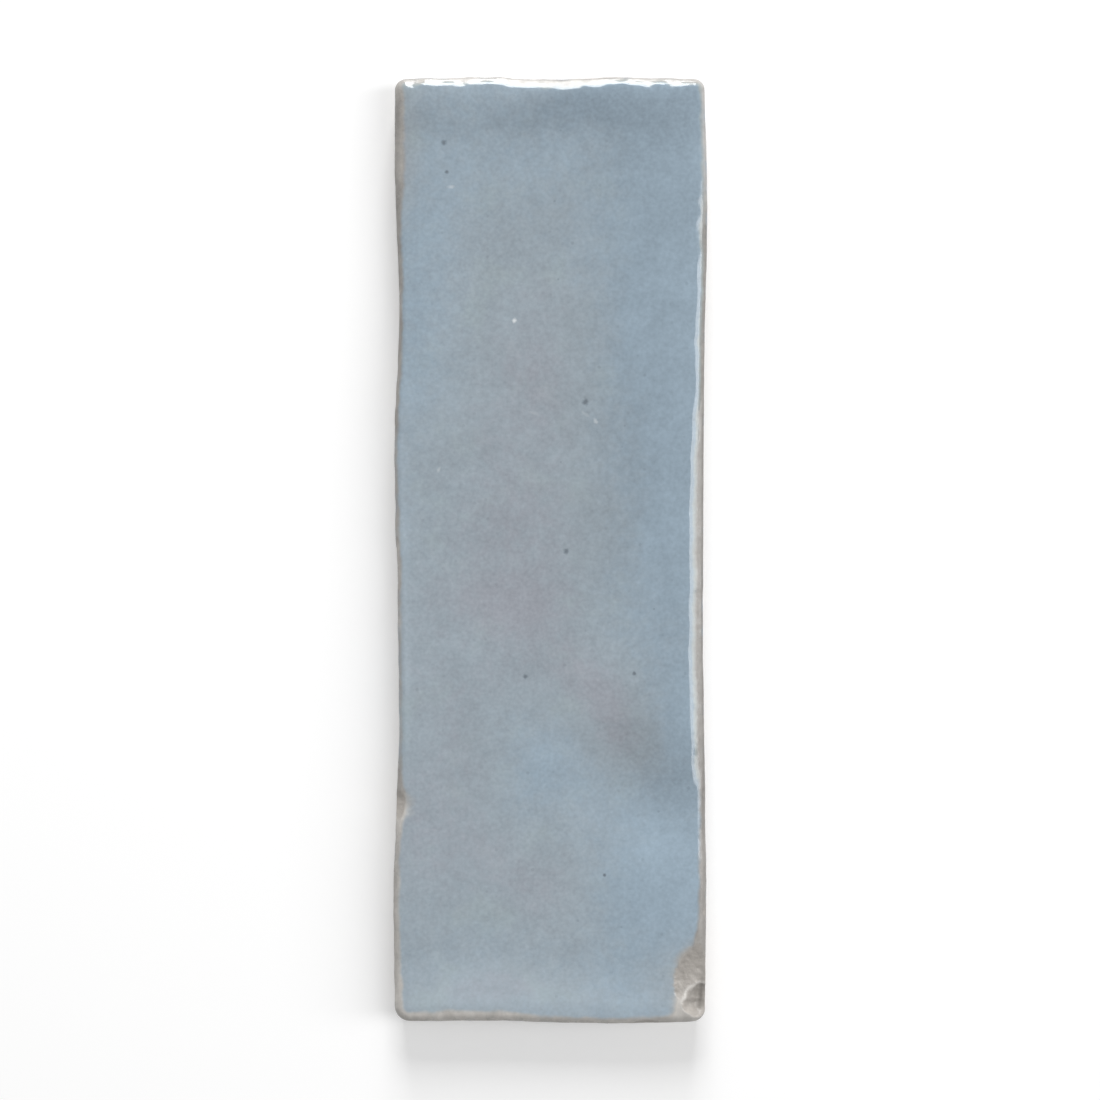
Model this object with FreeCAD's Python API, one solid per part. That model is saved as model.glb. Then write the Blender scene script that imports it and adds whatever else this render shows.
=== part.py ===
"""Hand-formed glazed subway wall tile, lying on its back with the glazed face up.

It is one fired piece. The outline wanders as a hand-cut one does, the face is crowned and
rippled, the arrises are rolled over, and one corner and one long edge are chipped.

Millimetres. The origin is the centre of the back, +X runs across the tile, +Y along it
and +Z out of the glazed face.
"""

import FreeCAD
import Part
import math
import os

# Overall size
TILE_LENGTH = 200.0
TILE_WIDTH = 66.0
TILE_THICKNESS = 10.0

# Corners in plan, the rolled arris round the face, and the sides that lean in towards the back
BOTTOM_LEFT_RADIUS = 3.4
BOTTOM_RIGHT_RADIUS = 2.8
TOP_RIGHT_RADIUS = 2.3
TOP_LEFT_RADIUS = 2.5
ARRIS_RADIUS = 1.8
BACK_EDGE_RADIUS = 0.6
BACK_TAPER = 0.9

# How far each edge stands out from its straight line, at even steps along it.
# Long edges run from the bottom of the tile to its top, short ones from left to right.
LEFT_EDGE = (0.3, -0.6, -0.8, -0.3, 0.0, -0.9, -0.1)
RIGHT_EDGE = (0.2, 0.0, -0.4, -0.4, -0.3, 0.0, 0.5)
BOTTOM_EDGE = (-0.3, 0.1, 0.3)
TOP_EDGE = (0.2, -0.1, 0.2)

# The face falls away near its edges, swells along its length and ripples across it
CROWN_DROP = 0.5
CROWN_REACH = 10.0
SWELL_HEIGHT = 0.14
SWELL_PITCH = 124.0
RIPPLE_HEIGHT = 0.07
RIPPLE_PITCH = 33.0
RIPPLE_LEAN = 0.16

# Hollows left by the hand: place across and along as shares of the half sizes, radius, depth
HAND_HOLLOWS = (
    (-0.45, 0.62, 16.0, 0.16),
    (0.35, 0.30, 20.0, 0.12),
    (-0.30, -0.12, 18.0, 0.14),
    (0.50, -0.45, 15.0, 0.16),
    (-0.15, -0.72, 17.0, 0.12),
)
FACE_STEPS_ACROSS = 20
FACE_STEPS_ALONG = 54

# Chips in the long arrises: the middle's distance from the bottom end, the length along the
# arris, the depth, and how far the blow leaned out from straight down on the face, in degrees.
# The corner lost a long shallow chip with a shorter, deeper flake inside it.
CORNER_CHIP_FROM_END = 8.6
CORNER_CHIP_LENGTH = 16.0
CORNER_CHIP_DEPTH = 1.0
CORNER_CHIP_LEAN = 12.0
CORNER_FLAKE_FROM_END = 5.2
CORNER_FLAKE_LENGTH = 9.5
CORNER_FLAKE_DEPTH = 1.6
CORNER_FLAKE_LEAN = 15.0
EDGE_CHIP_FROM_END = 46.0
EDGE_CHIP_LENGTH = 6.5
EDGE_CHIP_DEPTH = 0.7
EDGE_CHIP_LEAN = 45.0

Vector = FreeCAD.Vector
RIGHT = Vector(1, 0, 0)
ALONG = Vector(0, 1, 0)
UP = Vector(0, 0, 1)


def side_curve(start, end, outward, offsets):
    """A smooth edge from start to end that passes each offset and leaves both ends straight."""
    run = end - start
    steps = len(offsets) + 1
    points = [start]
    for step, offset in enumerate(offsets, start=1):
        points.append(start + run * (step / steps) + outward * offset)
    points.append(end)
    curve = Part.BSplineCurve()
    curve.interpolate(Points=points, InitialTangent=run, FinalTangent=run)
    return curve.toShape()


def corner_arc(corner, start_way, end_way, radius):
    """The round of a corner, between its tangent points along the two ways out of it."""
    centre = corner + (start_way + end_way) * radius
    middle = centre + (corner - centre).normalize() * radius
    return Part.Arc(corner + start_way * radius, middle, corner + end_way * radius).toShape()


def outline(inset, height):
    """The tile's wandering outline, moved in by inset, at a height above the back."""
    half_width = TILE_WIDTH / 2 - inset
    half_length = TILE_LENGTH / 2 - inset
    corners = [
        (Vector(-half_width, -half_length, height), BOTTOM_LEFT_RADIUS),
        (Vector(half_width, -half_length, height), BOTTOM_RIGHT_RADIUS),
        (Vector(half_width, half_length, height), TOP_RIGHT_RADIUS),
        (Vector(-half_width, half_length, height), TOP_LEFT_RADIUS),
    ]
    ways = [RIGHT, ALONG, -RIGHT, -ALONG]
    outwards = [-ALONG, RIGHT, ALONG, -RIGHT]
    offsets = [BOTTOM_EDGE, RIGHT_EDGE, TOP_EDGE[::-1], LEFT_EDGE[::-1]]
    edges = []
    for side in range(4):
        corner, radius = corners[side]
        next_corner, next_radius = corners[(side + 1) % 4]
        way, next_way = ways[side], ways[(side + 1) % 4]
        start = corner + way * radius
        end = next_corner - way * next_radius
        edges.append(side_curve(start, end, outwards[side], offsets[side]))
        edges.append(corner_arc(next_corner, -way, next_way, next_radius))
    return Part.Wire(edges)


def crown(distance):
    """How far the face has fallen at a distance inside the edge."""
    return CROWN_DROP * max(0.0, 1 - distance / CROWN_REACH) ** 2


def face_height(x, y):
    """Height of the glazed face above the back."""
    height = TILE_THICKNESS - crown(TILE_WIDTH / 2 - abs(x)) - crown(TILE_LENGTH / 2 - abs(y))
    height += SWELL_HEIGHT * math.sin(2 * math.pi * y / SWELL_PITCH)
    height += RIPPLE_HEIGHT * math.sin(2 * math.pi * (x + RIPPLE_LEAN * y) / RIPPLE_PITCH)
    for across, along, radius, depth in HAND_HOLLOWS:
        away = math.hypot(x - across * TILE_WIDTH / 2, y - along * TILE_LENGTH / 2) / radius
        height -= depth * math.exp(-away ** 2)
    return height


def above_face():
    """Everything above the glazed face, to be taken off the blank."""
    overlap = 2 * ARRIS_RADIUS
    width = TILE_WIDTH + 2 * overlap
    length = TILE_LENGTH + 2 * overlap
    rows = []
    for i in range(FACE_STEPS_ACROSS + 1):
        x = width * (i / FACE_STEPS_ACROSS - 0.5)
        row = []
        for j in range(FACE_STEPS_ALONG + 1):
            y = length * (j / FACE_STEPS_ALONG - 0.5)
            row.append(Vector(x, y, face_height(x, y)))
        rows.append(row)
    surface = Part.BSplineSurface()
    surface.interpolate(rows)
    return surface.toShape().extrude(UP * TILE_THICKNESS)


def edge_point(way, y):
    """Where the face would meet the long side that lies that way, before the arris is rolled."""
    across = Part.makeLine(ALONG * y, ALONG * y + way * TILE_WIDTH)
    nearest = outline(0.0, 0.0).distToShape(across)[1][0]
    x = nearest[0].x
    return Vector(x, y, face_height(x, y))


def chip(way, from_end, length, depth, lean):
    """A shell-shaped chip out of the rolled arris: a ball that bites to depth, over length."""
    radius = (length ** 2 / 4 + depth ** 2) / (2 * depth)
    roll_centre = edge_point(way, from_end - TILE_LENGTH / 2) - (way + UP) * ARRIS_RADIUS
    outward = UP * math.cos(math.radians(lean)) + way * math.sin(math.radians(lean))
    return Part.makeSphere(radius, roll_centre + outward * (ARRIS_RADIUS + radius - depth))


def tile():
    """The blank is lofted from the back outline, trimmed to the face, rolled over and chipped."""
    blank_height = TILE_THICKNESS + SWELL_HEIGHT + RIPPLE_HEIGHT + ARRIS_RADIUS
    blank = Part.makeLoft([outline(BACK_TAPER, 0.0), outline(0.0, blank_height)], True, True)
    body = blank.cut(above_face())
    face = max(body.Faces, key=lambda f: f.CenterOfMass.z)
    body = body.makeFillet(ARRIS_RADIUS, face.OuterWire.Edges)
    back = min(body.Faces, key=lambda f: f.CenterOfMass.z)
    body = body.makeFillet(BACK_EDGE_RADIUS, back.OuterWire.Edges)
    corner_chip = chip(
        RIGHT, CORNER_CHIP_FROM_END, CORNER_CHIP_LENGTH, CORNER_CHIP_DEPTH, CORNER_CHIP_LEAN)
    corner_flake = chip(
        RIGHT, CORNER_FLAKE_FROM_END, CORNER_FLAKE_LENGTH, CORNER_FLAKE_DEPTH, CORNER_FLAKE_LEAN)
    edge_chip = chip(-RIGHT, EDGE_CHIP_FROM_END, EDGE_CHIP_LENGTH, EDGE_CHIP_DEPTH, EDGE_CHIP_LEAN)
    return body.cut([corner_chip, corner_flake, edge_chip])


def main():
    os.makedirs("parts", exist_ok=True)
    tile().exportStep("parts/tile.step")


main()
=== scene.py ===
"""The hand-formed glazed wall tile as it looks: one closed mesh with its fine relief, a glaze
and clay material, and a plain studio.

The mesh is worked out in millimetres in the frame's own axes (+X across the tile, +Y along it,
+Z out of the glazed face) and becomes metres when the object is made.
"""

import math

import bpy
import numpy as np
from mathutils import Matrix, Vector


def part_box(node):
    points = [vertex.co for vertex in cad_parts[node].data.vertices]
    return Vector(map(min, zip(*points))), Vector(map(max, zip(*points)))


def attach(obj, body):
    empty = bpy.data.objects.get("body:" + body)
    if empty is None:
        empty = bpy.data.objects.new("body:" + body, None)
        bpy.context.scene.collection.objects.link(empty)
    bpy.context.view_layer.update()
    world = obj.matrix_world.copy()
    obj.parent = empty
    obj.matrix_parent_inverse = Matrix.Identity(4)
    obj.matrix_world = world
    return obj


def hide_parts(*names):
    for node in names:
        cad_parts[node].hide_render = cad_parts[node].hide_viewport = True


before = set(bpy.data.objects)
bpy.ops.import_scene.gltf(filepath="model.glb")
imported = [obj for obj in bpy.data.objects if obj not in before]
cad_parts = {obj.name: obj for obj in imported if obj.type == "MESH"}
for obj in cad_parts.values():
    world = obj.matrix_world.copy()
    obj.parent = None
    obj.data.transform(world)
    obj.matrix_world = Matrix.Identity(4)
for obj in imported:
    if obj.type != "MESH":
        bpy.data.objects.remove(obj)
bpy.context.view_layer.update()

# The tile's form, repeated from its source; whole millimetres come from the frame's own box
MM = 0.001
LOW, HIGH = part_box("tile")
TILE_WIDTH = round((HIGH.x - LOW.x) / MM)
TILE_LENGTH = round((HIGH.y - LOW.y) / MM)
TILE_THICKNESS = round((HIGH.z - LOW.z) / MM)
BOTTOM_LEFT_RADIUS = 3.4
BOTTOM_RIGHT_RADIUS = 2.8
TOP_RIGHT_RADIUS = 2.3
TOP_LEFT_RADIUS = 2.5
ARRIS_RADIUS = 1.8
BACK_EDGE_RADIUS = 0.6
BACK_TAPER = 0.9
# How far each edge stands out from its straight line, at even steps along it
LEFT_EDGE = (0.3, -0.6, -0.8, -0.3, 0.0, -0.9, -0.1)
RIGHT_EDGE = (0.2, 0.0, -0.4, -0.4, -0.3, 0.0, 0.5)
BOTTOM_EDGE = (-0.3, 0.1, 0.3)
TOP_EDGE = (0.2, -0.1, 0.2)
# The face falls away near its edges, swells along its length and ripples across it
CROWN_DROP = 0.5
CROWN_REACH = 10.0
SWELL_HEIGHT = 0.14
SWELL_PITCH = 124.0
RIPPLE_HEIGHT = 0.07
RIPPLE_PITCH = 33.0
RIPPLE_LEAN = 0.16
# Hollows left by the hand: place across and along as shares of the half sizes, radius, depth
HAND_HOLLOWS = (
    (-0.45, 0.62, 16.0, 0.16),
    (0.35, 0.30, 20.0, 0.12),
    (-0.30, -0.12, 18.0, 0.14),
    (0.50, -0.45, 15.0, 0.16),
    (-0.15, -0.72, 17.0, 0.12),
)
# Chips: the way out to their edge, place along it, length, depth, lean from straight down
LEFT, RIGHT, BOTTOM, TOP = (-1, 0), (1, 0), (0, -1), (0, 1)
CHIPS = (
    (RIGHT, 8.6 - TILE_LENGTH / 2, 16.0, 1.0, 12.0),
    (RIGHT, 5.2 - TILE_LENGTH / 2, 9.5, 1.6, 15.0),
    (LEFT, 46.0 - TILE_LENGTH / 2, 6.5, 0.7, 45.0),
)

# The mesh: cells of the face, rings from the face down to the back, and a coarser back.
# Cells by the chipped corner are finer, down to a share of the others.
CELLS_ACROSS = 112
CELLS_ALONG = 432
FINEST = 0.42
FINE_REACH = (0.04, 0.3)
BAND = 6.0
BAND_RINGS = 16
ARRIS_RINGS = 10
SIDE_RINGS = 9
BACK_EDGE_RINGS = 3
BACK_COARSER = 4
# How far a point's normal has to tip up to count as face, or down to count as back
FACE_TIP = (0.2, 0.9)
BACK_TIP = (0.5, 0.9)

# Noise: the shift from one seed to the next, and the whole numbers that scatter its cells
SEED_SHIFT = 31.7
SEED_FACTOR = 2654435
CELL_FACTORS = (73856093, 19349663, 83492791)
SCATTER = ((13, 1274126177), (16, 668265263))
WHOLE_RANGE = 0xFFFFFFFF
# The first seed of each use of it
FACE_SEED = 1
EDGE_SEED = 5
LIP_SEED = 11
RUN_SEED = 13
CLOUD_SEED = 15
BACK_SEED = 21
BLUE_SEED = 31
TONE_SEED = 33
THIN_SEED = 35
CHIP_ZONE_SEED = 37
GLAZE_LINE_SEED = 41
CHIP_SEED = 50
CHIP_SEED_STEP = 3

# Fine relief: lumps of a size (across, along, up) and a height each
FACE_RELIEF = (
    ((6.0, 34.0, 9.0), 0.022),
    ((2.6, 12.0, 9.0), 0.007),
    ((1.7, 1.9, 1.7), 0.0035),
)
EDGE_RELIEF = (
    ((9.0, 9.0, 9.0), 0.14),
    ((3.2, 3.2, 3.2), 0.08),
    ((1.4, 1.4, 1.4), 0.03),
)
EDGE_RELIEF_REACH = 1.8
BACK_RELIEF = (
    ((22.0, 40.0, 22.0), 0.09),
    ((7.0, 10.0, 7.0), 0.04),
)

# The glaze builds up to a lip inside each edge: the lip's height and width, the band in which
# the colour deepens, and a faint roll further in
GLAZE_BUILD = 0.24
GLAZE_LIP_WIDTH = 1.9
GLAZE_DEEPENS = (-0.4, 1.95)
GLAZE_ROLL = 0.05
GLAZE_ROLL_AT = 4.2
GLAZE_ROLL_WIDTH = 1.5
# The next four tables go by place along each edge. First how uneven the edge is
UNEVENNESS = {
    LEFT: ((0, 1.0),),
    RIGHT: ((-60, 1.0), (-45, 0.7)),
    BOTTOM: ((0, 1.0),),
    TOP: ((0, 2.3),),
}
# How full the lip is
LIP_FULLNESS = {
    LEFT: ((-100, 0.5), (0, 0.3), (100, 0.4)),
    RIGHT: ((-50, 0.1), (-46, 1.6), (20, 1.6), (40, 1.25), (64, 1.2), (75, 0.8), (100, 0.8)),
    BOTTOM: ((0, 0.2),),
    TOP: ((0, 1.35),),
}
# How far inside the edge the lip starts, with the glaze thin outside it
LIP_PLACE = {
    LEFT: (
        (-100, 1.6), (-85, 1.0), (-60, 0.8), (-45, 0.4), (-20, 0.2),
        (0, 0.4), (50, 0.5), (70, 1.0), (80, 1.8), (100, 2.0)),
    RIGHT: (
        (-100, 1.3), (-55, 1.1), (-48, 1.2), (-35, 1.4), (20, 1.3),
        (34, 0.4), (58, 0.3), (69, 0.75), (77, 0.3), (100, 0.4)),
    BOTTOM: ((-33, 2.2), (-10, 1.9), (0, 1.2), (33, 0.9)),
    TOP: ((0, 0.6),),
}
# How far the pale body shows through that thin glaze; at the top of the right edge it is a painted
# highlight
PALENESS_AND_HIGHLIGHT = {
    LEFT: (
        (-100, 0.6), (-85, 0.4), (-62, 0.4), (-57, 0.7),
        (-55, 0.6), (-53, 0.1), (70, 0.1), (80, 0.2)),
    # On the right edge from 74 up this pale is a painted highlight
    RIGHT: ((-100, 0.2), (-50, -0.1), (66, 0.0), (74, 0.6)),
    BOTTOM: ((0, 0.35),),
    TOP: ((0, 0.5),),
}
# How far the lip strays from its place, as lumps
LIP_WANDER = (
    ((14.0, 14.0, 14.0), 0.24),
    ((5.0, 5.0, 5.0), 0.20),
    ((2.6, 2.6, 2.6), 0.22),
    ((1.2, 1.2, 1.2), 0.09),
)

# The glaze's ragged lower end on the sides: height above the back, lumps of straying, how thick
# the glaze is, and the height over which it comes to that
GLAZE_LINE = 4.0
GLAZE_LINE_WANDER = (
    ((16.0, 16.0, 16.0), 1.6),
    ((5.0, 5.0, 5.0), 1.1),
)
GLAZE_ON_SIDE = 0.22
GLAZE_THICKENS = (0.0, 0.7)
# How well it covers the sides: where it has pooled above that end, how much less higher up, the
# heights between them, and lumps of runs and clouds
POOL_COVER = 0.85
POOL_THINS = 0.75
GLAZE_POOLS = (0.3, 3.6)
GLAZE_RUNS = ((2.8, 2.8, 30.0), 0.3)
GLAZE_CLOUDS = ((24.0, 24.0, 24.0), 0.3)

# A chip's rough floor: lumps as shares of its depth, creased where they pass 0, how much the two
# sides of a crease differ, and the level that they are taken from
CHIP_RELIEF = (
    ((3.0, 3.0, 3.0), 0.22),
    ((1.2, 1.2, 1.2), 0.10),
)
CHIP_SKEW = 0.5
CHIP_LEVEL = 0.3
# How deep inside a chip a point is before any is bitten out: far outside
UNCHIPPED = -9.0
# Half the width of the painted highlight along the ridge where one chip bites into another
RIDGE_HIGHLIGHT_WIDTH = 0.18
# Nicks that show in the photo, given as the chips are, and more scattered along the arrises
EDGE_NICKS = (
    (BOTTOM, 20.5, 5.5, 0.4, 62.0),
    (TOP, -27.5, 2.6, 0.3, 35.0),
)
NICK_SEED = 8
NICK_COUNT = 26
NICK_LENGTHS = (0.9, 2.6)
NICK_DEPTHS = (0.08, 0.24)
NICK_LEANS = (45, 80)
NICK_CLEAR = 2 * BOTTOM_LEFT_RADIUS
# Hollows and, below 0, ridges in the corner chip's floor, as zones like the glaze's. They fade
# in over the depth of the chip and over the distance inside the outline.
CHIP_HOLLOWS = (
    (31.7, -94.0, 0.8, 3.6, -8, 0.70),
    (30.2, -92.3, 0.45, 2.3, -37, -0.25),
)
HOLLOW_IN_CHIP = (0.0, 0.4)
HOLLOW_IN_RIM = (0.2, 1.0)
# Painted shade and light on the floors of the corner chip and the left edge's chip, as such zones too
CHIP_SHADING_ZONES = (
    # Painted shade in the hollow of the corner chip
    (32.2, -93.8, 0.75, 3.8, -8, -1.7),
    (28.4, -96.6, 1.1, 2.4, 0, 1.0),
    # Painted highlight along the raised ridge in its floor
    (30.2, -92.3, 0.40, 2.3, -37, 1.8),
    # Painted light on the left edge's chip, where its floor faces away from the lamps
    (-32.0, -54.5, 3.0, 4.0, 0, 1.8),
)

# Pinholes in the glaze: across, along, radius, depth
PINHOLES = (
    (7.5, 31.2, 0.90, 0.10),
    (-22.4, 86.0, 0.78, 0.08),
    (-21.8, 79.8, 0.58, 0.05),
    (3.4, -0.3, 0.74, 0.07),
    (-5.2, -26.7, 0.66, 0.07),
    (17.8, -26.1, 0.53, 0.06),
    (11.5, -68.6, 0.45, 0.05),
)
PINHOLE_STRENGTH = 0.8
# Pale specks and smears in it: across, along, reach each way, turn in degrees, strength
SPECKS = (
    (-7.5, 48.4, 0.65, 0.65, 0, 0.80),
    (-20.9, 76.6, 0.95, 0.45, 0, 0.32),
    (9.6, 27.2, 0.50, 0.85, 40, 0.32),
    (7.6, 28.6, 0.45, 1.60, 55, 0.13),
    (-23.5, 16.9, 0.45, 0.75, -30, 0.26),
    (-3.4, 28.9, 0.50, 1.40, 70, 0.11),
)
# The edge of such a mark as shares of its reach, the noise that frays it, and a scale so large
# that height makes no difference to it
MARK_EDGE = (1.1, 0.2)
MARK_FRAY_PITCH = 0.6
MARK_FRAY = 0.9
MARK_ANY_HEIGHT = 1e6

# Soft zones of the glaze: across, along, their reach each way, turn in degrees, and how much.
# First how blue it is
BLUE_ZONES = (
    (25.5, 45.0, 13.0, 70.0, 0, 0.60),
    (-29.0, 54.0, 8.0, 28.0, 0, 0.30),
    (0.0, 85.0, 32.0, 14.0, 0, 0.12),
    (-4.0, 10.0, 17.0, 43.0, 0, -0.45),
    (-4.0, 42.0, 12.0, 15.0, 0, -0.20),
    (-22.0, -30.0, 14.0, 45.0, 0, -0.25),
    (-28.0, -60.0, 7.0, 18.0, 0, -0.25),
    (-8.0, -9.0, 12.0, 6.0, 0, -0.35),
    (12.0, -34.0, 7.0, 17.0, 22, -0.72),
    (29.0, -35.0, 5.0, 14.0, 0, 0.20),
    (-4.0, -44.0, 8.0, 14.0, 20, 0.36),
    (24.0, -66.0, 14.0, 26.0, 0, 0.42),
    (0.0, -72.0, 9.0, 14.0, 20, -0.30),
    (-12.0, -64.0, 12.0, 14.0, 0, -0.25),
    (-31.5, 84.0, 3.5, 14.0, 0, -0.60),
    (14.0, 96.0, 22.0, 5.0, 0, 0.35),
    (27.0, -87.0, 6.0, 8.0, 0, -0.35),
    (-12.0, -93.0, 14.0, 5.0, 0, -0.45),
)
# How light it is: its own tone, painted shade and light of the face's undulation, and painted light on
# two edges
TONE_AND_SHADING_ZONES = (
    (7.0, 92.5, 26.0, 4.6, 0, -1.45),
    (-29.0, 93.0, 7.0, 8.0, 0, -0.80),
    (17.0, 86.0, 10.0, 8.0, 0, -0.50),
    (0.0, 72.0, 10.0, 8.0, 0, -0.30),
    (28.0, 74.0, 7.0, 8.0, 0, -0.60),
    (3.0, 60.0, 6.0, 5.0, 0, -0.20),
    (-13.0, 60.0, 5.0, 5.0, 0, -0.20),
    (0.0, 20.0, 6.0, 5.0, 0, -0.20),
    (15.0, 25.0, 9.0, 35.0, 0, -0.50),
    (-28.0, 0.0, 7.0, 75.0, 0, 0.35),
    # Painted light: the left edge lifted where its roll faces away from the lamps
    (-32.5, -8.0, 2.4, 62.0, 0, 1.6),
    (-28.0, -24.0, 6.0, 8.0, 0, 0.30),
    (13.0, -23.0, 6.0, 6.0, 0, 0.35),
    # Painted shade of the undulation at the lower right
    (22.5, -42.5, 7.5, 15.0, 61, -1.35),
    (-1.0, -42.0, 8.0, 9.0, 0, 0.30),
    (9.0, -52.0, 5.0, 5.0, 0, 0.25),
    (-13.0, -61.0, 9.0, 6.0, 0, 0.28),
    # Painted light of the same undulation
    (21.0, -61.0, 7.0, 15.0, 57, 0.95),
    (22.0, -83.0, 12.0, 8.0, 0, 0.35),
    (0.0, -75.0, 90.0, 50.0, 0, 0.35),
    # Painted light: the bottom edge lifted where its lip faces away from the top lamp
    (0.0, -97.5, 60.0, 7.0, 0, 1.80),
    (-22.0, -95.0, 14.0, 7.0, 0, 0.40),
)
# Where it is worn or has crawled thin at the edge
THIN_ZONES = (
    (33.5, -92.0, 7.2, 8.8, 0, 1.8),
    (28.8, -86.5, 2.6, 2.8, 0, 0.6),
    (27.8, -97.4, 1.9, 3.2, 0, 1.3),
    (-32.5, -54.3, 5.2, 4.0, -20, 1.05),
)
# How far the outlines of zones are pushed about across the tile, how many times as far along
# it, and over what pitch
ZONE_WARP = 1.8
EDGE_ZONE_WARP = 0.8
CHIP_ZONE_WARP = 0.3
ZONE_WARP_ALONG = 2
ZONE_WARP_PITCH = (17.0, 24.0, 17.0)

# Colours as they show, red, green and blue out of 255
GLAZE_TAUPE = (150, 155, 164)
GLAZE_GREY = (147, 159, 168)
GLAZE_GREEN = (148, 161, 166)
GLAZE_BLUE = (141, 159, 173)
# Pale lip glaze, partly its own colour and partly a painted highlight on the right and top edges
LIP_GLAZE_AND_HIGHLIGHT = (158, 167, 168)
THIN_GLAZE = (143, 140, 136)
PALE_BODY = (204, 201, 196)
CHIP_FLOOR = (164, 159, 153)
# A painted highlight for the ridge between two flakes of a chip
CHIP_RIDGE_HIGHLIGHT = (222, 219, 214)
CLAY = (188, 180, 170)
CLAY_DARK = (160, 151, 141)
CLAY_PIT = (112, 104, 96)
PINHOLE = (92, 103, 112)
SPECK = (222, 226, 228)
FLOOR = (240, 240, 240)

# Noises that make the glaze leaner or richer: pitch, detail, roughness, amount
GLAZE_RICHNESS = (
    (13.0, 4.0, 0.5, 0.4),
    (2.4, 3.0, 0.6, 0.5),
)
# How rich it is where taupe turns to grey and grey to blue, and green clouds in the grey by the
# noise's pitch, its values where they start and are full, and their strength there
TAUPE_TO_GREY = (-0.8, -0.15)
GREY_TO_BLUE = (-0.25, 0.45)
GREEN_PITCH = 9.0
GREEN_CLOUDS = (0.0, 0.24, 0.0, 0.6)
# How thin it is where it takes the lip's colour, partly a painted highlight, and then the worn one, how
# full that lip has to be, and streaks of the pale body by stretch, pitch and amount
LIP_COLOUR_THIN = (0.1, 0.5)
LIP_COLOUR_FULL = (0.4, 1.0)
WORN_COLOUR_THIN = (0.35, 1.0)
STREAK_STRETCH = (1.0, 0.4, 1.0)
STREAK_PITCH = 2.6
STREAK_AMOUNT = 0.9
# How light it is: weight of the zones, mottle by pitch and amount, and spots by pitch, radius,
# share of the cells that have one, and amount
TONE_AND_SHADING_WEIGHT = 0.15
GLAZE_MOTTLE = ((12.0, 0.16), (4.5, 0.17), (1.5, 0.16), (0.8, 0.28))
GLAZE_SPOTS = (
    (2.3, 0.45, 0.35, -0.07),
    (4.7, 0.50, 0.30, -0.13),
    (3.1, 0.40, 0.30, 0.06),
)
# The full middle of a spot as a share of its radius
SPOT_MIDDLE = 0.4
# Faint pinholes and specks all over: pitch, radius, share of the cells, strength
STRAY_PINHOLES = (7.0, 0.35, 0.4, 0.3)
STRAY_SPECKS = (13.0, 0.32, 0.25, 0.25)

# Clay: how light it is at its middle, clouds by pitch and amount, marks of the cut by stretch,
# pitch and amount, the weight of marks and grain together, and pits as the faint pinholes are given
CLAY_MIDDLE = 0.55
CLAY_CLOUD_PITCH = 14.0
CLAY_CLOUDS = 0.8
CLAY_CUTS = (
    ((0.06, 0.06, 1.0), 0.9, 1.0),
    ((1.0, 0.04, 0.06), 1.6, 0.8),
)
CLAY_CUT_WEIGHT = 0.7
CLAY_PITS = (3.2, 0.5, 0.3, 0.5)
# A chip's floor: weights of grain, lumps, its painted shade and light, and its ridge's painted highlight
CHIP_GRAIN = 0.25
CHIP_LUMPS = 0.35
CHIP_SHADING_WEIGHT = 0.16
RIDGE_HIGHLIGHT_STRENGTH = 0.8

# Grain and lumps that all parts of the material share, by pitch, and how far the lumps thin the glaze
GRAIN_PITCH = 0.7
LUMP_PITCH = 2.6
THIN_LUMPS = 0.5
# The edges of a chip and of the bare clay in millimetres, and how far the grain frays them
CHIP_EDGE = (-0.16, 0.2)
CHIP_EDGE_FRAY = 0.35
CLAY_EDGE = (0.25, -0.1)
CLAY_EDGE_FRAY = 1.6
# Roughness: of the glaze, what lumps add, what thinness adds and how thin it has to be, and of
# chips and clay
GLAZE_ROUGHNESS = 0.09
LUMP_ROUGHNESS = 0.06
THIN_ROUGHNESS = 0.32
ROUGH_WHERE_THIN = (0.7, 1.15)
CHIP_ROUGHNESS = 0.4
CLAY_ROUGHNESS = 0.85
# Bump in millimetres: ripples of the glaze by pitch and height, and grain where there is none
GLAZE_BUMP_PITCH = 0.9
GLAZE_BUMP = 0.0035
BARE_BUMP = 0.12
GLAZE_IOR = 1.5

# The studio, in metres: a floor that fades out, an even fill, and lamps by place, size and watts
FLOOR_GAP = 0.00002
FLOOR_FADE = (0.35, 0.9)
FLOOR_LIFT = 0.2
FILL_LIGHT = 0.31
SOFTBOXES = (
    ("top_light", (0.0, 1.67, 0.78), (0.70, 1.27), 34.0),
    ("right_light", (1.40, 0.07, 1.40), (0.56, 1.90), 17.2),
)
# The camera: lens in millimetres, and how many times the tile's length the picture is high
CAMERA_LENS = 85
PICTURE_HEIGHT = 1.16


def linear(colour):
    """A shown colour as the linear one that a shader takes, by the sRGB curve."""
    parts = np.array(colour) / 255
    straight = np.where(parts <= 0.04045, parts / 12.92, ((parts + 0.055) / 1.055) ** 2.4)
    return (*straight.tolist(), 1.0)


def ease(start, end, values):
    """0 before start, 1 after end and a smooth rise between them."""
    share = np.clip((values - start) / (end - start), 0, 1)
    return share * share * (3 - 2 * share)


def noise(points, pitch, seed):
    """Smooth lumps between -1 and 1, of one size along each axis."""
    scaled = points / np.array(pitch) + SEED_SHIFT * seed
    cell = np.floor(scaled).astype(np.int64)
    part = scaled - cell
    soft = part ** 3 * (part * (part * 6 - 15) + 10)
    total = np.zeros(len(points))
    for corner in np.ndindex(2, 2, 2):
        weight = np.prod(np.where(corner, soft, 1 - soft), axis=1)
        total += weight * lattice(cell + corner, seed)
    return total


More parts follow.
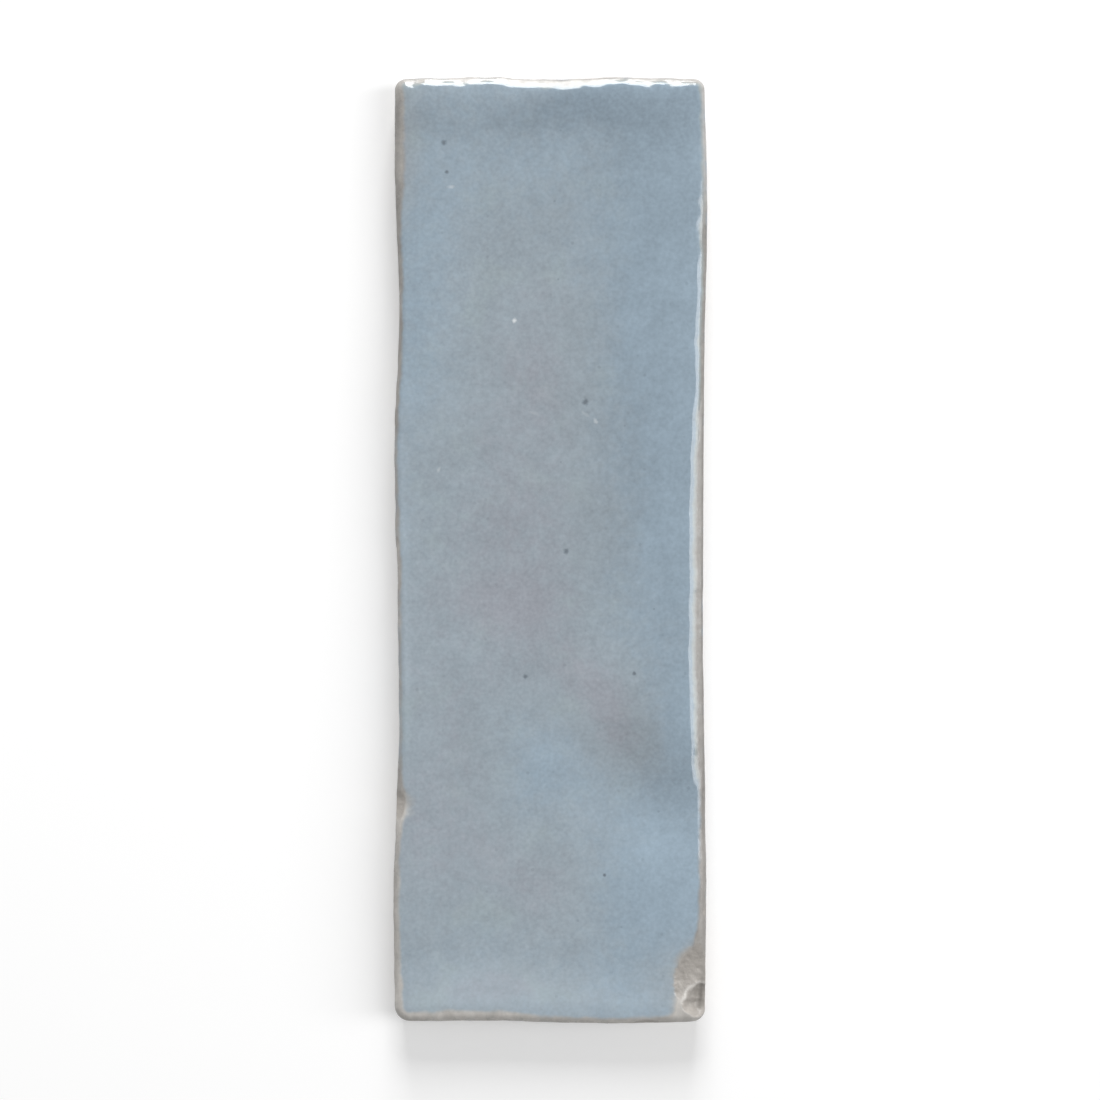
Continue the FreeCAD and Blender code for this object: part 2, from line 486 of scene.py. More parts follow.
def lattice(cell, seed):
    """A value between -1 and 1 for each whole-numbered cell, the same on every run."""
    mixed = np.full(len(cell), seed * SEED_FACTOR, dtype=np.int64)
    for axis, factor in enumerate(CELL_FACTORS):
        mixed ^= cell[:, axis] * factor
    for shift, factor in SCATTER:
        mixed = ((mixed ^ (mixed >> shift)) * factor) & WHOLE_RANGE
    return mixed / (WHOLE_RANGE // 2) - 1


def lumps(points, relief, seed):
    """Sum of noises given as (pitch, height)."""
    return sum(height * noise(points, pitch, seed + i) for i, (pitch, height) in enumerate(relief))


def wander(offsets, start, end, places):
    """How far an edge stands out at each place: a smooth curve through even steps, flat at both ends."""
    values = np.array([0.0, *offsets, 0.0])
    step = (end - start) / (len(values) - 1)
    equations = np.eye(len(values))
    rates = np.zeros(len(values))
    for i in range(1, len(values) - 1):
        equations[i, i - 1:i + 2] = (1, 4, 1)
        rates[i] = 3 * (values[i + 1] - values[i - 1]) / step
    slopes = np.linalg.solve(equations, rates)
    along = np.clip((places - start) / step, 0, len(values) - 1)
    left = np.minimum(along.astype(int), len(values) - 2)
    t = along - left
    from_values = values[left] * (1 + 2 * t) * (1 - t) ** 2 + values[left + 1] * t ** 2 * (3 - 2 * t)
    from_slopes = slopes[left] * t * (1 - t) ** 2 - slopes[left + 1] * t ** 2 * (1 - t)
    return from_values + step * from_slopes


def stations(cells):
    """Shares from 0 to 1 along a side, closer together at its chipped end."""
    widths = FINEST + (1 - FINEST) * ease(*FINE_REACH, np.linspace(0, 1, cells))
    return np.concatenate([[0], np.cumsum(widths)]) / widths.sum()


def sides():
    """The four sides in turn: first corner, way along, way out, length, radii, edge, stations."""
    x, y = TILE_WIDTH / 2, TILE_LENGTH / 2
    bottom_left, bottom_right, top_right, top_left = (-x, -y), (x, -y), (x, y), (-x, y)
    radii = (BOTTOM_LEFT_RADIUS, BOTTOM_RIGHT_RADIUS, TOP_RIGHT_RADIUS, TOP_LEFT_RADIUS)
    across, along = stations(CELLS_ACROSS), stations(CELLS_ALONG)
    return (
        (bottom_left, RIGHT, BOTTOM, TILE_WIDTH, radii[0], radii[1], BOTTOM_EDGE, 1 - across[::-1]),
        (bottom_right, TOP, RIGHT, TILE_LENGTH, radii[1], radii[2], RIGHT_EDGE, along),
        (top_right, LEFT, TOP, TILE_WIDTH, radii[2], radii[3], TOP_EDGE[::-1], across),
        (top_left, BOTTOM, LEFT, TILE_LENGTH, radii[3], radii[0], LEFT_EDGE[::-1], 1 - along[::-1]),
    )


def outline():
    """Points once round the tile's outline with their outward normals, corner middle to corner middle."""
    half_corner = math.pi / 4
    points, normals = [], []
    for corner, way, out, length, start_radius, end_radius, offsets, shares in sides():
        start_arc = start_radius * half_corner
        end_arc = end_radius * half_corner
        straight = length - start_radius - end_radius
        run = shares[:-1] * (start_arc + straight + end_arc)
        start_turn = np.clip(half_corner - run / start_radius, 0, None)
        end_turn = np.clip((run - start_arc - straight) / end_radius, 0, None)
        u = start_radius + np.clip(run - start_arc, 0, straight)
        v = wander(offsets, start_radius, length - end_radius, u)
        u = u - start_radius * np.sin(start_turn) + end_radius * np.sin(end_turn)
        v = v - start_radius * (1 - np.cos(start_turn)) - end_radius * (1 - np.cos(end_turn))
        points.append(np.array(corner) + np.outer(u, way) + np.outer(v, out))
        turn = end_turn - start_turn
        normals.append(np.outer(np.sin(turn), way) + np.outer(np.cos(turn), out))
    return np.concatenate(points), np.concatenate(normals)


def edge_distances(x, y):
    """Distance inside the left, right, bottom and top edges."""
    half_width, half_length = TILE_WIDTH / 2, TILE_LENGTH / 2
    left = x + half_width + wander(
        LEFT_EDGE, BOTTOM_LEFT_RADIUS - half_length, half_length - TOP_LEFT_RADIUS, y)
    right = half_width - x + wander(
        RIGHT_EDGE, BOTTOM_RIGHT_RADIUS - half_length, half_length - TOP_RIGHT_RADIUS, y)
    bottom = y + half_length + wander(
        BOTTOM_EDGE, BOTTOM_LEFT_RADIUS - half_width, half_width - BOTTOM_RIGHT_RADIUS, x)
    top = half_length - y + wander(
        TOP_EDGE, TOP_LEFT_RADIUS - half_width, half_width - TOP_RIGHT_RADIUS, x)
    return left, right, bottom, top


def inset(x, y):
    """Distance inside the outline, its rounded corners included."""
    left, right, bottom, top = edge_distances(x, y)
    across, along = np.minimum(left, right), np.minimum(bottom, top)
    lower = np.where(x < 0, BOTTOM_LEFT_RADIUS, BOTTOM_RIGHT_RADIUS)
    upper = np.where(x < 0, TOP_LEFT_RADIUS, TOP_RIGHT_RADIUS)
    radius = np.where(y < 0, lower, upper)
    rounded = radius - np.hypot(np.maximum(radius - across, 0), np.maximum(radius - along, 0))
    in_corner = (across < radius) & (along < radius)
    return np.where(in_corner, rounded, np.minimum(across, along))


def crown(distance):
    """How far the face has fallen at a distance inside the straight edge."""
    return CROWN_DROP * np.clip(1 - distance / CROWN_REACH, 0, None) ** 2


def face_height(x, y):
    """Height of the glazed face above the back, before its fine relief."""
    height = TILE_THICKNESS - crown(TILE_WIDTH / 2 - abs(x)) - crown(TILE_LENGTH / 2 - abs(y))
    height += SWELL_HEIGHT * np.sin(2 * math.pi * y / SWELL_PITCH)
    height += RIPPLE_HEIGHT * np.sin(2 * math.pi * (x + RIPPLE_LEAN * y) / RIPPLE_PITCH)
    for across, along, radius, depth in HAND_HOLLOWS:
        away = np.hypot(x - across * TILE_WIDTH / 2, y - along * TILE_LENGTH / 2) / radius
        height -= depth * np.exp(-away ** 2)
    return height


def grid(coarser, margin):
    """Points of a grid over the tile inside a margin, its rim once round, and its quads."""
    xs = (TILE_WIDTH / 2 - margin) * (1 - 2 * stations(CELLS_ACROSS)[::-coarser])
    ys = (TILE_LENGTH / 2 - margin) * (2 * stations(CELLS_ALONG)[::coarser] - 1)
    points = np.stack(np.meshgrid(xs, ys, indexing="ij"), axis=-1).reshape(-1, 2)
    ids = np.arange(len(points)).reshape(len(xs), len(ys))
    rim = np.concatenate([ids[:-1, 0], ids[-1, :-1], ids[:0:-1, -1], ids[0, :0:-1]])
    quads = np.stack([ids[:-1, :-1], ids[1:, :-1], ids[1:, 1:], ids[:-1, 1:]], axis=-1)
    return points, rim, quads.reshape(-1, 4)


def ring_stations(edge, normal, rim):
    """Rings of points from the face's grid, over the arris and down the side to the back."""
    def tapered(distance, height):
        lean = BACK_TAPER * (1 - height / TILE_THICKNESS)
        return edge - normal * (distance + lean)[:, None]

    shoulder = edge - normal * ARRIS_RADIUS
    for step in range(1, BAND_RINGS + 1):
        spot = rim + (shoulder - rim) * step / BAND_RINGS
        yield spot, face_height(*spot.T)
    height = face_height(*shoulder.T)
    for step in range(1, ARRIS_RINGS + 1):
        turn = math.pi / 2 * step / ARRIS_RINGS
        back = np.full(len(edge), ARRIS_RADIUS * (1 - math.sin(turn)))
        spot = tapered(back, height)
        height = face_height(*spot.T) - ARRIS_RADIUS * (1 - math.cos(turn))
        yield spot, height
    top = height
    for step in range(1, SIDE_RINGS + 1):
        height = top + (BACK_EDGE_RADIUS - top) * step / SIDE_RINGS
        yield tapered(np.zeros(len(edge)), height), height
    for step in range(1, BACK_EDGE_RINGS + 1):
        turn = math.pi / 2 * step / BACK_EDGE_RINGS
        height = np.full(len(edge), BACK_EDGE_RADIUS * (1 - math.sin(turn)))
        yield tapered(np.full(len(edge), BACK_EDGE_RADIUS * (1 - math.cos(turn))), height), height


def skin():
    """The closed tile before its fine relief: points, quads and triangles."""
    edge, normal = outline()
    flat, rim, quads = grid(1, BAND)
    points = [np.column_stack([flat, face_height(*flat.T)])]
    faces = [quads]
    count = len(flat)
    inner = rim
    for spot, height in ring_stations(edge, normal, flat[rim]):
        outer = count + np.arange(len(edge))
        points.append(np.column_stack([spot, height]))
        faces.append(np.stack([inner, outer, np.roll(outer, -1), np.roll(inner, -1)], axis=-1))
        count += len(edge)
        inner = outer
    flat, rim, quads = grid(BACK_COARSER, BAND)
    points.append(np.column_stack([flat, np.zeros(len(flat))]))
    faces.append(quads[:, ::-1] + count)
    return np.concatenate(points), np.concatenate(faces), back_seam(inner, rim + count)


def back_seam(fine, coarse):
    """Triangles between the last fine ring and the rim of the coarser back."""
    triangles = []
    for k, here in enumerate(coarse):
        after = coarse[(k + 1) % len(coarse)]
        first = k * BACK_COARSER
        for step in range(BACK_COARSER):
            a = fine[first + step]
            b = fine[(first + step + 1) % len(fine)]
            triangles.append((a, here if step < BACK_COARSER // 2 else after, b))
        triangles.append((here, after, fine[first + BACK_COARSER // 2]))
    return np.array(triangles)


def along_edges(table, x, y):
    """Values given along each edge, blended by how near each edge is."""
    distances = np.stack(edge_distances(x, y))
    weights = np.exp(distances.min(axis=0) - distances)
    total = np.zeros(len(x))
    for weight, way in zip(weights, (LEFT, RIGHT, BOTTOM, TOP)):
        places, values = zip(*table[way])
        total += weight * np.interp(x if way in (BOTTOM, TOP) else y, places, values)
    return total / weights.sum(axis=0)


def zones(points, table, warp, seed):
    """Sum of soft zones, their outlines pushed about so that none is a plain ellipse."""
    x = points[:, 0] + warp * noise(points, ZONE_WARP_PITCH, seed)
    y = points[:, 1] + ZONE_WARP_ALONG * warp * noise(points, ZONE_WARP_PITCH, seed + 1)
    total = np.zeros(len(points))
    for across, along, reach_x, reach_y, turn, amount in table:
        cos, sin = math.cos(math.radians(turn)), math.sin(math.radians(turn))
        u = cos * (x - across) + sin * (y - along)
        v = cos * (y - along) - sin * (x - across)
        total += amount * np.exp(-(u / reach_x) ** 2 - (v / reach_y) ** 2)
    return total


def edge_spot(way, place):
    """Where the face would meet the side at a place along an edge, before the arris is rolled."""
    x, y = (place, 0.0) if way in (BOTTOM, TOP) else (0.0, place)
    left, right, bottom, top = edge_distances(np.array([x]), np.array([y]))
    out = {LEFT: left, RIGHT: right, BOTTOM: bottom, TOP: top}[way]
    x, y = x + way[0] * out, y + way[1] * out
    return np.array([x[0], y[0], face_height(x, y)[0]])


def carve(points, chip, seed):
    """Bites a shell-shaped chip out of the rolled arris; returns how deep inside each point was."""
    way, place, length, depth, lean = chip
    radius = (length ** 2 / 4 + depth ** 2) / (2 * depth)
    sideways, upwards = math.sin(math.radians(lean)), math.cos(math.radians(lean))
    outward = np.array([way[0] * sideways, way[1] * sideways, upwards])
    roll_centre = edge_spot(way, place) - ARRIS_RADIUS * np.array([*way, 1])
    away = points - (roll_centre + outward * (ARRIS_RADIUS + radius - depth))
    rough = np.full(len(points), radius)
    for number, (pitch, height) in enumerate(CHIP_RELIEF):
        lump = noise(points, pitch, seed + number)
        rough += depth * height * (abs(lump) - CHIP_SKEW * lump - CHIP_LEVEL)
    inside = rough - np.linalg.norm(away, axis=1)
    bitten = inside > 0
    facing = away[bitten] @ outward
    gap = rough[bitten] ** 2 - (away[bitten] ** 2).sum(axis=1)
    points[bitten] -= np.outer(facing + np.sqrt(facing ** 2 + gap), outward)
    return inside


def nicks():
    """Small chips at even odds along all four edges, clear of the corners."""
    chance = np.random.default_rng(NICK_SEED)
    for _ in range(NICK_COUNT):
        along = chance.uniform(-1, 1) * (TILE_WIDTH + TILE_LENGTH)
        sign = 1 if along > 0 else -1
        long_edge = abs(along) < TILE_LENGTH
        way = (sign, 0) if long_edge else (0, sign)
        length = TILE_LENGTH if long_edge else TILE_WIDTH
        place = (chance.uniform() - 0.5) * (length - 2 * NICK_CLEAR)
        sizes = [chance.uniform(*limits) for limits in (NICK_LENGTHS, NICK_DEPTHS, NICK_LEANS)]
        yield way, place, *sizes


class Surface:
    """The tile's points before the fine relief, with what the place of each says about it."""

    def __init__(self, points, normals):
        self.points = points
        self.x, self.y, height = points.T
        self.deep = inset(self.x, self.y)
        self.on_face = ease(*FACE_TIP, normals[:, 2])
        self.on_back = ease(*BACK_TIP, -normals[:, 2])
        self.uneven = self.by_edge(UNEVENNESS)
        self.lip_fullness = self.by_edge(LIP_FULLNESS)
        straying = self.uneven * lumps(points, LIP_WANDER, LIP_SEED)
        self.past_lip = self.deep - self.by_edge(LIP_PLACE) + straying
        ragged = lumps(points * (1, 1, 0), GLAZE_LINE_WANDER, GLAZE_LINE_SEED)
        self.above_line = height - GLAZE_LINE - ragged

    def by_edge(self, table):
        return along_edges(table, self.x, self.y)


def body_relief(surface):
    """How far the face's ripples, the uneven edges and the back stand out from the plain form."""
    on_edge = np.exp(-np.clip(surface.deep, 0, None) / EDGE_RELIEF_REACH) * (1 - surface.on_back)
    push = surface.on_face * lumps(surface.points, FACE_RELIEF, FACE_SEED)
    push += on_edge * surface.uneven * lumps(surface.points, EDGE_RELIEF, EDGE_SEED)
    highest = sum(height for _, height in BACK_RELIEF)
    return push - surface.on_back * (lumps(surface.points, BACK_RELIEF, BACK_SEED) + highest)


def glaze_relief(surface):
    """How far the glaze's lip, roll, ragged lower end and pinholes stand out."""
    lip = ease(0, GLAZE_LIP_WIDTH, surface.past_lip)
    roll = np.exp(-((surface.deep - GLAZE_ROLL_AT) / GLAZE_ROLL_WIDTH) ** 2)
    on_top = GLAZE_BUILD * surface.lip_fullness * (lip - 1) + GLAZE_ROLL * roll
    for across, along, radius, depth in PINHOLES:
        away = np.hypot(surface.x - across, surface.y - along) / radius
        on_top -= depth * np.exp(-away ** 2)
    missing = 1 - ease(*GLAZE_THICKENS, surface.above_line)
    on_side = (1 - surface.on_face) * (1 - surface.on_back)
    return on_top * surface.on_face - GLAZE_ON_SIDE * missing * on_side


def glaze_cover(surface):
    """How well the glaze covers the body: from its lip inwards, and in runs down the sides."""
    rich = ease(*GLAZE_DEEPENS, surface.past_lip)
    run = POOL_COVER - POOL_THINS * ease(*GLAZE_POOLS, surface.above_line)
    run += lumps(surface.points, [GLAZE_RUNS], RUN_SEED)
    run += lumps(surface.points, [GLAZE_CLOUDS], CLOUD_SEED)
    return surface.on_face * rich + (1 - surface.on_face) * run


def carve_all(surface, moved):
    """Bites all chips and nicks; returns how deep inside one, and how near a ridge, each point was."""
    chip = np.full(len(moved), UNCHIPPED)
    ridge = np.zeros(len(moved))
    for number, placed in enumerate((*CHIPS, *EDGE_NICKS, *nicks())):
        inside = carve(moved, placed, CHIP_SEED + CHIP_SEED_STEP * number)
        ridge = np.maximum(ridge, (chip > 0) * np.exp(-(inside / RIDGE_HIGHLIGHT_WIDTH) ** 2))
        chip = np.maximum(chip, inside)
    in_floor = ease(*HOLLOW_IN_CHIP, chip) * ease(*HOLLOW_IN_RIM, surface.deep)
    hollows = zones(surface.points, CHIP_HOLLOWS, CHIP_ZONE_WARP, CHIP_ZONE_SEED)
    moved[:, 2] -= in_floor * hollows
    return chip, ridge


def tile_mesh():
    """The tile's mesh with its fine relief, and what the material reads from it."""
    points, quads, triangles = skin()
    mesh = bpy.data.meshes.new("glazed_tile")
    mesh.from_pydata(points.tolist(), [], quads.tolist() + triangles.tolist())
    normals = np.zeros(points.size)
    mesh.vertex_normals.foreach_get("vector", normals)
    normals = normals.reshape(-1, 3)
    surface = Surface(points, normals)
    push = body_relief(surface) + glaze_relief(surface)
    moved = points + normals * push[:, None]
    moved[:, 2] -= moved[:, 2].min()
    chip, ridge = carve_all(surface, moved)
    mesh.vertices.foreach_set("co", (moved * MM).ravel())
    fields = {
        "cover": glaze_cover(surface),
        "above_line": surface.above_line,
        "blue": zones(points, BLUE_ZONES, ZONE_WARP, BLUE_SEED),
        "tone_and_shading": zones(points, TONE_AND_SHADING_ZONES, ZONE_WARP, TONE_SEED),
        "thin": zones(points, THIN_ZONES, EDGE_ZONE_WARP, THIN_SEED),
        "chip": chip,
        "ridge": ridge,
        "pale": surface.by_edge(PALENESS_AND_HIGHLIGHT),
        # Where the lip's pale colour, partly a painted highlight, is laid
        "lip": surface.lip_fullness * surface.on_face,
        "chip_shading": zones(points, CHIP_SHADING_ZONES, CHIP_ZONE_WARP, CHIP_ZONE_SEED),
    }
    for name, values in fields.items():
        mesh.attributes.new(name, "FLOAT", "POINT").data.foreach_set("value", values)
    mesh.shade_smooth()
    mesh.update()
    return mesh


class Graph:
    """Small helpers that add nodes to one material or world and return their output sockets."""

    def __init__(self, owner):
        owner.use_nodes = True
        self.tree = owner.node_tree
        self.tree.nodes.clear()

    def add(self, kind, inputs, output=0, **settings):
        """A node with its inputs linked or set; returns one of its outputs."""
        node = self.tree.nodes.new(kind)
        for name, value in settings.items():
            setattr(node, name, value)
        for name, value in inputs.items():
            if isinstance(value, bpy.types.NodeSocket):
                self.tree.links.new(value, node.inputs[name])
            else:
                node.inputs[name].default_value = value
        return node.outputs[output] if node.outputs else None

    def field(self, name):
        return self.add("ShaderNodeAttribute", {}, "Fac", attribute_name=name)

    def math(self, operation, first, second=0.0, third=0.0):
        return self.add("ShaderNodeMath", {0: first, 1: second, 2: third}, operation=operation)

    def ramp(self, value, low, high, out_low=0.0, out_high=1.0):
        """A smooth step from out_low to out_high as value goes from low to high."""
        inputs = {"Value": value, 1: low, 2: high, 3: out_low, 4: out_high}
        return self.add("ShaderNodeMapRange", inputs, interpolation_type="SMOOTHSTEP")

    def mix(self, share, first, second):
        """One colour turning into another."""
        inputs = {0: share, 6: first, 7: second}
        return self.add("ShaderNodeMix", inputs, 2, data_type="RGBA")

    def scale(self, vector, factor):
        return self.add("ShaderNodeVectorMath", {0: vector, "Scale": factor}, operation="SCALE")

    def stretch(self, where, factors):
        return self.add("ShaderNodeVectorMath", {0: where, 1: factors}, operation="MULTIPLY")

    def length(self, vector):
        return self.add("ShaderNodeVectorMath", {0: vector}, "Value", operation="LENGTH")

    def noise(self, where, pitch, detail=2.0, roughness=0.5):
        """Noise about 0, its lumps of a pitch in millimetres."""
        inputs = {"Vector": where, "Scale": 1 / pitch, "Detail": detail, "Roughness": roughness}
        value = self.add("ShaderNodeTexNoise", inputs, "Fac")
        return self.math("SUBTRACT", value, 0.5)

    def plus(self, base, value, amount):
        """base with an amount of value added."""
        return self.math("MULTIPLY_ADD", value, amount, base)

    def spots(self, where, pitch, radius, share, strength=1.0):
        """Round spots of a radius, one in a share of the cells of a pitch."""
        inputs = {"Vector": where, "Scale": 1 / pitch}
        distance = self.add("ShaderNodeTexVoronoi", inputs, "Distance")
        colour = self.add("ShaderNodeTexVoronoi", inputs, "Color")
        near = self.ramp(distance, radius / pitch, SPOT_MIDDLE * radius / pitch, 0.0, strength)
        pick = self.add("ShaderNodeSeparateColor", {"Color": colour})
        return self.math("MULTIPLY", near, self.math("LESS_THAN", pick, share))


def marks(graph, where, table):
    """Soft-edged marks in the glaze: across, along, reach each way, turn and strength of each."""
    fray = graph.noise(where, MARK_FRAY_PITCH)
    total = 0.0
    for across, along, reach_x, reach_y, turn, strength in table:
        inputs = {
            "Vector": where,
            "Location": (across, along, 0),
            "Rotation": (0, 0, math.radians(turn)),
            "Scale": (reach_x, reach_y, MARK_ANY_HEIGHT),
        }
        local = graph.add("ShaderNodeMapping", inputs, vector_type="TEXTURE")
        away = graph.plus(graph.length(local), fray, MARK_FRAY)
        near = graph.ramp(away, *MARK_EDGE, 0.0, strength)
        total = graph.math("MAXIMUM", near, total)
    return total


def glaze_colour(graph, where, thin):
    """Mottled glaze: taupe where it is lean, blue where it is rich, its lip pale partly as a painted
    highlight, and thin over the pale body.
    """
    rich = graph.field("blue")
    for pitch, detail, roughness, amount in GLAZE_RICHNESS:
        rich = graph.plus(rich, graph.noise(where, pitch, detail, roughness), amount)
    green = graph.ramp(graph.noise(where, GREEN_PITCH, detail=3.0), *GREEN_CLOUDS)
    grey = graph.mix(green, linear(GLAZE_GREY), linear(GLAZE_GREEN))
    colour = graph.mix(graph.ramp(rich, *TAUPE_TO_GREY), linear(GLAZE_TAUPE), grey)
    colour = graph.mix(graph.ramp(rich, *GREY_TO_BLUE), colour, linear(GLAZE_BLUE))
    # The lip's pale colour, partly a painted highlight
    lip_thin = graph.ramp(thin, *LIP_COLOUR_THIN)
    lip_full = graph.ramp(graph.field("lip"), *LIP_COLOUR_FULL)
    colour = graph.mix(graph.math("MULTIPLY", lip_thin, lip_full), colour, linear(LIP_GLAZE_AND_HIGHLIGHT))
    streak = graph.noise(graph.stretch(where, STREAK_STRETCH), STREAK_PITCH, detail=3.0)
    # Pale body through thin glaze, and a painted highlight at the top of the right edge
    pale = graph.plus(graph.field("pale"), streak, STREAK_AMOUNT)
    worn = graph.mix(pale, linear(THIN_GLAZE), linear(PALE_BODY))
    return graph.mix(graph.ramp(thin, *WORN_COLOUR_THIN), colour, worn)


def glaze_light(graph, where):
    """How light the glaze is: soft zones of its tone and of painted shade and light, mottle, fine speckle
    and spots.
    """
    light = graph.plus(1.0, graph.field("tone_and_shading"), TONE_AND_SHADING_WEIGHT)
    for pitch, amount in GLAZE_MOTTLE:
        light = graph.plus(light, graph.noise(where, pitch, detail=1.0), amount)
    for pitch, radius, share, amount in GLAZE_SPOTS:
        light = graph.plus(light, graph.spots(where, pitch, radius, share), amount)
    return light


def marked_glaze(graph, where, thin):
    """The glaze with its pinholes and specks."""
    pinholes = [(x, y, radius, radius, 0, PINHOLE_STRENGTH) for x, y, radius, _ in PINHOLES]
    glaze = graph.scale(glaze_colour(graph, where, thin), glaze_light(graph, where))
    glaze = graph.mix(graph.spots(where, *STRAY_PINHOLES), glaze, linear(PINHOLE))
    glaze = graph.mix(graph.spots(where, *STRAY_SPECKS), glaze, linear(SPECK))
    glaze = graph.mix(marks(graph, where, pinholes), glaze, linear(PINHOLE))
    return graph.mix(marks(graph, where, SPECKS), glaze, linear(SPECK))


def clay_colour(graph, where, grain):
    """Buff clay: cloudy, grainy and drawn out along the way it was cut."""
    cloud = graph.noise(where, CLAY_CLOUD_PITCH, detail=3.0)
    cut = grain
    for stretch, pitch, amount in CLAY_CUTS:
        cut = graph.plus(cut, graph.noise(graph.stretch(where, stretch), pitch), amount)
    share = graph.plus(graph.plus(CLAY_MIDDLE, cloud, CLAY_CLOUDS), cut, CLAY_CUT_WEIGHT)
    clay = graph.mix(graph.ramp(share, 0.0, 1.0), linear(CLAY_DARK), linear(CLAY))
    return graph.mix(graph.spots(where, *CLAY_PITS), clay, linear(CLAY_PIT))


def chip_colour(graph, grain, lump):
    """The broken floor of a chip under a breath of glaze, with painted shade and light and a painted
    highlight on the ridge between two flakes.
    """
    light = graph.plus(graph.plus(1.0, grain, CHIP_GRAIN), lump, CHIP_LUMPS)
    # Painted shade and light of the chips' floors
    light = graph.plus(light, graph.field("chip_shading"), CHIP_SHADING_WEIGHT)
    floor = graph.scale(linear(CHIP_FLOOR)[:3], light)
    # Painted highlight along the ridge between two flakes
    ridge = graph.math("MULTIPLY", graph.field("ridge"), RIDGE_HIGHLIGHT_STRENGTH)
    return graph.mix(ridge, floor, linear(CHIP_RIDGE_HIGHLIGHT))


def tile_roughness(graph, lump, thin, chipped, unglazed):
    """Smooth glaze that is duller where it is thin, and matt chips and clay."""
    rough = graph.plus(GLAZE_ROUGHNESS, lump, LUMP_ROUGHNESS)
    rough = graph.plus(rough, graph.ramp(thin, *ROUGH_WHERE_THIN), THIN_ROUGHNESS)
    rough = graph.ramp(chipped, 0.0, 1.0, rough, CHIP_ROUGHNESS)
    return graph.ramp(unglazed, 0.0, 1.0, rough, CLAY_ROUGHNESS)


def tile_bump(graph, where, grain, bare):
    """Faint ripples in the glaze, and grain where it is missing."""
    ripples = graph.math("MULTIPLY", graph.noise(where, GLAZE_BUMP_PITCH, detail=1.0), GLAZE_BUMP)
    relief = graph.plus(ripples, graph.math("MULTIPLY", grain, bare), BARE_BUMP)
    return graph.add("ShaderNodeBump", {"Height": relief, "Distance": MM, "Strength": 1.0})


def tile_material():
    """Glossy glaze that thins over the arris, over matt buff clay."""
    material = bpy.data.materials.new("glaze_over_clay")
    graph = Graph(material)
    where = graph.scale(graph.add("ShaderNodeTexCoord", {}, "Object"), 1 / MM)
    grain = graph.noise(where, GRAIN_PITCH, detail=3.0, roughness=0.6)
    lump = graph.noise(where, LUMP_PITCH, detail=3.0)
    thin = graph.math("SUBTRACT", graph.field("thin"), graph.field("cover"))
    thin = graph.plus(graph.math("ADD", thin, 1.0), lump, THIN_LUMPS)
    chipped = graph.ramp(graph.plus(graph.field("chip"), grain, CHIP_EDGE_FRAY), *CHIP_EDGE)
    above_line = graph.plus(graph.field("above_line"), grain, CLAY_EDGE_FRAY)
    unglazed = graph.ramp(above_line, *CLAY_EDGE)
    colour = graph.mix(chipped, marked_glaze(graph, where, thin), chip_colour(graph, grain, lump))
    colour = graph.mix(unglazed, colour, clay_colour(graph, where, grain))
    bare = graph.math("MAXIMUM", chipped, unglazed)
    shader = graph.add("ShaderNodeBsdfPrincipled", {
        "Base Color": colour,
        "Roughness": tile_roughness(graph, lump, thin, chipped, unglazed),
        "Normal": tile_bump(graph, where, grain, bare),
        "IOR": GLAZE_IOR,
    })
    graph.add("ShaderNodeOutputMaterial", {"Surface": shader})
    return material


def add_tile():
    """The tile, in place of its plain solid."""
    tile = bpy.data.objects.new("glazed_tile", tile_mesh())
    bpy.context.scene.collection.objects.link(tile)
    tile.data.materials.append(tile_material())
    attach(tile, "root")
    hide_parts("tile")


def floor_material():
    """Pale and matt, a little lifted for the camera, and fading out away from the tile."""
    material = bpy.data.materials.new("pale_floor")
    graph = Graph(material)
    camera_ray = graph.add("ShaderNodeLightPath", {}, "Is Camera Ray")
    matt = graph.add("ShaderNodeBsdfDiffuse", {"Color": linear(FLOOR)})
    lift = graph.add("ShaderNodeEmission", {"Strength": graph.math("MULTIPLY", camera_ray, FLOOR_LIFT)})
    surface = graph.add("ShaderNodeAddShader", {0: matt, 1: lift})
    away = graph.length(graph.add("ShaderNodeTexCoord", {}, "Object"))
    gone = graph.add("ShaderNodeBsdfTransparent", {})
    surface = graph.add("ShaderNodeMixShader", {0: graph.ramp(away, *FLOOR_FADE), 1: surface, 2: gone})
    graph.add("ShaderNodeOutputMaterial", {"Surface": surface})
    return material


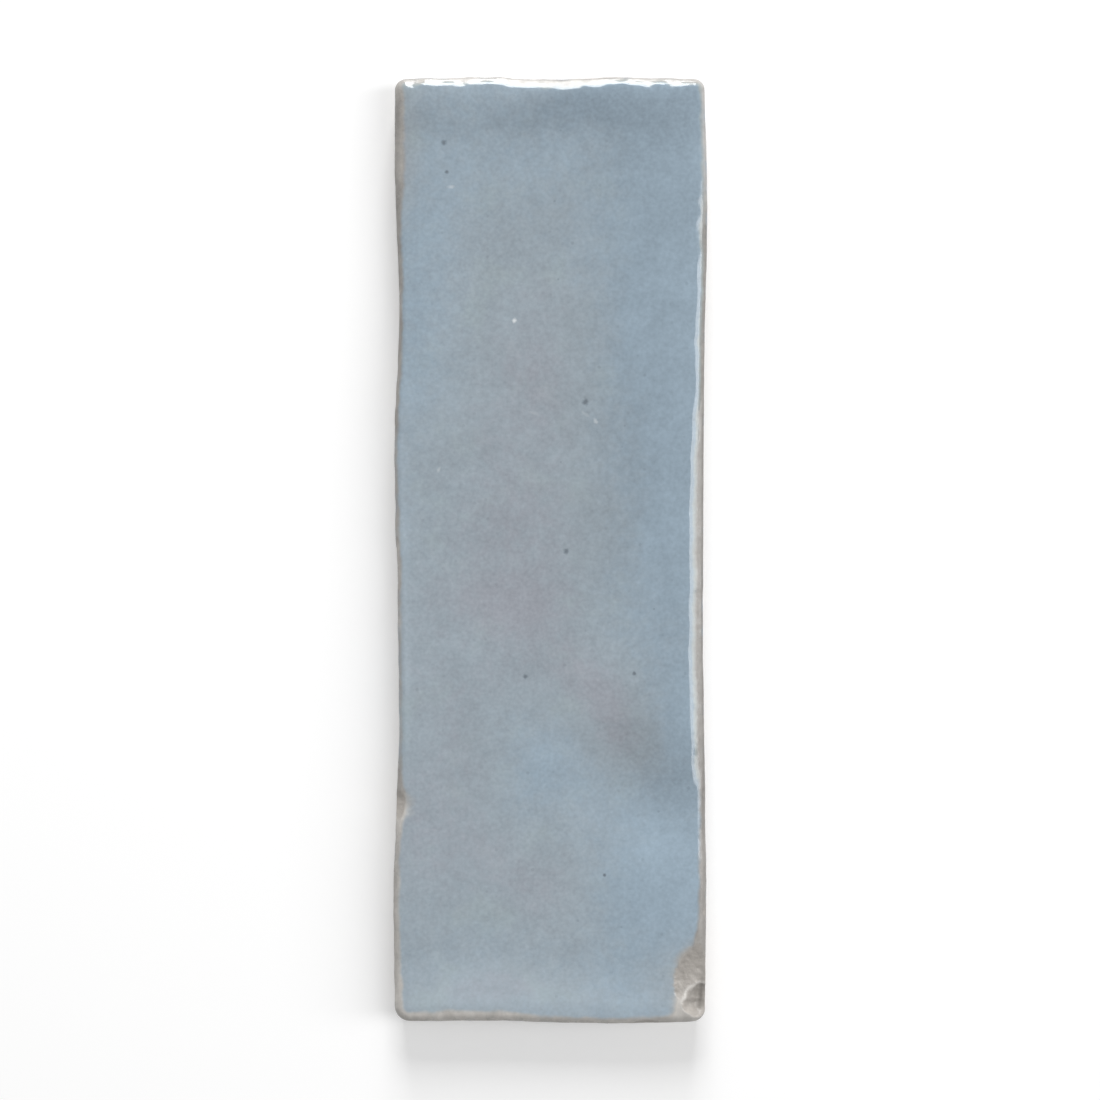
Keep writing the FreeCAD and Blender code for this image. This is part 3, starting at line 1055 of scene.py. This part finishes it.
def add_floor():
    """A pale floor that keeps the tile's shadow and fades into the white surround."""
    reach = FLOOR_FADE[1]
    corners = [(-reach, -reach, 0), (reach, -reach, 0), (reach, reach, 0), (-reach, reach, 0)]
    mesh = bpy.data.meshes.new("floor")
    mesh.from_pydata(corners, [], [(0, 1, 2, 3)])
    mesh.materials.append(floor_material())
    floor = bpy.data.objects.new("floor", mesh)
    floor.location.z = -FLOOR_GAP
    bpy.context.scene.collection.objects.link(floor)


def add_world():
    """Soft even fill that shows white to the camera and in reflections."""
    world = bpy.data.worlds.new("studio")
    bpy.context.scene.world = world
    graph = Graph(world)
    seen = 0.0
    for ray in ("Is Camera Ray", "Is Glossy Ray", "Is Transmission Ray"):
        seen = graph.math("MAXIMUM", graph.add("ShaderNodeLightPath", {}, ray), seen)
    strength = graph.ramp(seen, 0.0, 1.0, FILL_LIGHT, 1.0)
    light = graph.add("ShaderNodeBackground", {"Color": (1, 1, 1, 1), "Strength": strength})
    graph.add("ShaderNodeOutputWorld", {"Surface": light})


def add_softbox(name, place, size, watts):
    """A soft lamp of a size across and along, aimed at the tile."""
    lamp = bpy.data.lights.new(name, "AREA")
    lamp.shape = "RECTANGLE"
    lamp.size, lamp.size_y = size
    lamp.energy = watts
    holder = bpy.data.objects.new(name, lamp)
    holder.location = place
    holder.rotation_euler = (-Vector(place)).to_track_quat("-Z", "Y").to_euler()
    holder.visible_camera = False
    bpy.context.scene.collection.objects.link(holder)


def add_camera():
    """Straight down on the face, with the tile's length up the picture."""
    picture_height = PICTURE_HEIGHT * TILE_LENGTH * MM
    camera = bpy.data.cameras.new("camera")
    camera.lens = CAMERA_LENS
    holder = bpy.data.objects.new("camera", camera)
    holder.location = (0, 0, TILE_THICKNESS * MM + picture_height * camera.lens / camera.sensor_width)
    bpy.context.scene.collection.objects.link(holder)
    bpy.context.scene.camera = holder


def main():
    add_tile()
    add_floor()
    add_world()
    for softbox in SOFTBOXES:
        add_softbox(*softbox)
    add_camera()
    bpy.context.scene.view_settings.view_transform = "Standard"


main()
